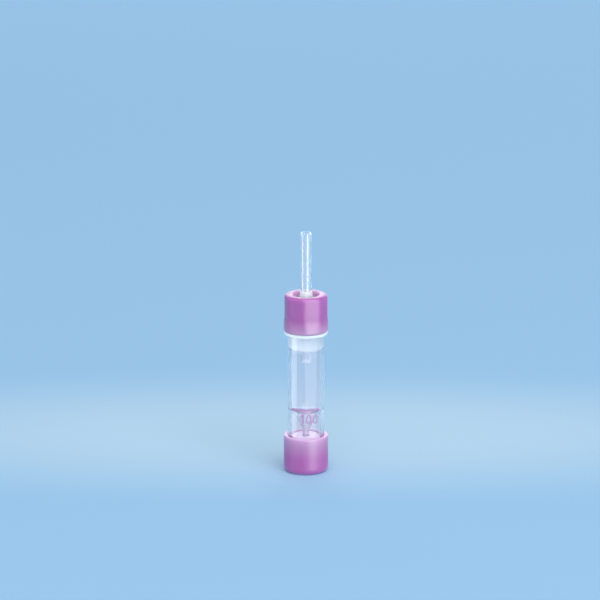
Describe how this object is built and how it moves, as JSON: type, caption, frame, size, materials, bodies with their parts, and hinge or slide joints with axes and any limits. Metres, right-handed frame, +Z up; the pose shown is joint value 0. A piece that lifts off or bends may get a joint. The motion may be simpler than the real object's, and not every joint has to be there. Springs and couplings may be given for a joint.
{
  "type": "blood collection tube",
  "caption": "Small clear collection tube with a coned inner bore, a violet push-on foot stopper and a faceted violet cap that holds a clear capillary.",
  "frame": {"origin": "centre of the foot stopper's flat underside", "axes": "+Z up the shared axis from the foot to the capillary's open end, -Y towards the printed fill line"},
  "size_m": [0.0108, 0.0108, 0.0596],
  "materials": {
    "violet_closure": "smooth moulded, slightly translucent",
    "violet_cap": "smooth moulded, slightly translucent",
    "natural_holder": "natural milky, satin",
    "clear_tube": "clear polished plastic",
    "clear_capillary": "clear polished plastic",
    "violet_ink": "printed ink"
  },
  "bodies": {
    "foot": {"base_stopper": "violet_closure"},
    "tube": {"collection_tube": "clear_tube", "fill_mark": "violet_ink"},
    "cap": {"capillary_cap": "violet_cap", "capillary_holder": "natural_holder", "capillary": "clear_capillary"}
  },
  "joints": [
    {"name": "foot_pull", "type": "slide", "parent": "foot", "child": "tube", "axis": [0, 0, 1], "range_m": [0, 0.01]},
    {"name": "cap_pull", "type": "slide", "parent": "tube", "child": "cap", "axis": [0, 0, 1], "range_m": [0, 0.012]}
  ]
}
